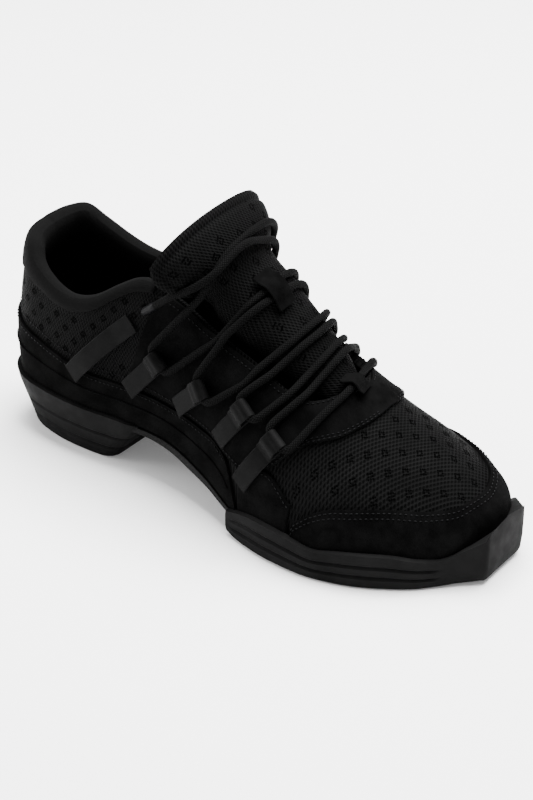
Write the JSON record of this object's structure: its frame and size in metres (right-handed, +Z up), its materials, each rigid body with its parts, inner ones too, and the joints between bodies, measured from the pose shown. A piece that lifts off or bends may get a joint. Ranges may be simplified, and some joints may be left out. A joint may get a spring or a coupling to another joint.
{
  "type": "dance sneaker",
  "caption": "Low split-sole dance sneaker with a heel block, a separate forefoot sole, a tall padded tongue and a cord lace that zigzags through strap loops; right foot.",
  "frame": {"origin": "on the floor, at the middle of the flat tread under the heel block", "axes": "+X towards the toe, +Y towards the inner (medial) side of the foot, +Z up"},
  "size_m": [0.2751, 0.1045, 0.1388],
  "materials": {
    "rubber_grey": "satin",
    "board": "matt",
    "sock": "matt",
    "mesh": "matt",
    "lining": "matt",
    "suede": "matt",
    "webbing": "satin",
    "cord": "matt",
    "tip": "satin"
  },
  "bodies": {
    "root": {"heel_sole": "rubber_grey", "forefoot_sole": "rubber_grey", "midsole": "board", "insole": "sock", "upper": "mesh", "tongue": "mesh", "collar_cuff": "lining", "toe_guard": "suede", "throat_stay": "suede", "foxing": "suede", "side_panel_lateral": "suede", "side_panel_medial": "suede", "strap_lateral_1": "webbing", "strap_lateral_2": "webbing", "strap_lateral_3": "webbing", "strap_lateral_4": "webbing", "strap_lateral_5": "webbing", "strap_medial_1": "webbing", "strap_medial_2": "webbing", "strap_medial_3": "webbing", "strap_medial_4": "webbing", "strap_medial_5": "webbing", "keeper_mid": "webbing", "keeper_low": "webbing", "lace": "cord", "lace_end": "cord", "lace_tip": "tip"}
  },
  "joints": []
}
